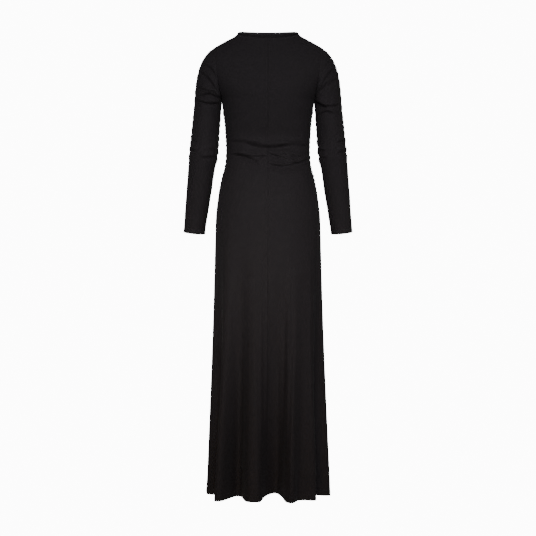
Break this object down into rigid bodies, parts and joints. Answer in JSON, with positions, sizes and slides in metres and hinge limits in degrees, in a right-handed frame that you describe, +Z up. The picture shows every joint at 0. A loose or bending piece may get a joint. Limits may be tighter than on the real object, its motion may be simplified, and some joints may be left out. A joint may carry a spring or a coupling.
{
  "type": "maxi dress",
  "caption": "Black long-sleeved jersey maxi dress, filled out as worn, with a boat neck, gathered side seams and sleeves, and a fluted floor-length skirt.",
  "frame": {"origin": "midway between the two points where the shoulder seams meet the neckline, where the wearer's shoulders carry the dress", "axes": "+Z up along the dress, -Y to the front, +X to the wearer's left"},
  "size_m": [0.5506, 0.2913, 1.5137],
  "materials": {
    "jersey": "matte black knitted jersey"
  },
  "bodies": {
    "root": {"back_left": "jersey", "back_right": "jersey", "front": "jersey", "sleeve_left": "jersey", "sleeve_right": "jersey", "neck_facing": "jersey"}
  },
  "joints": []
}
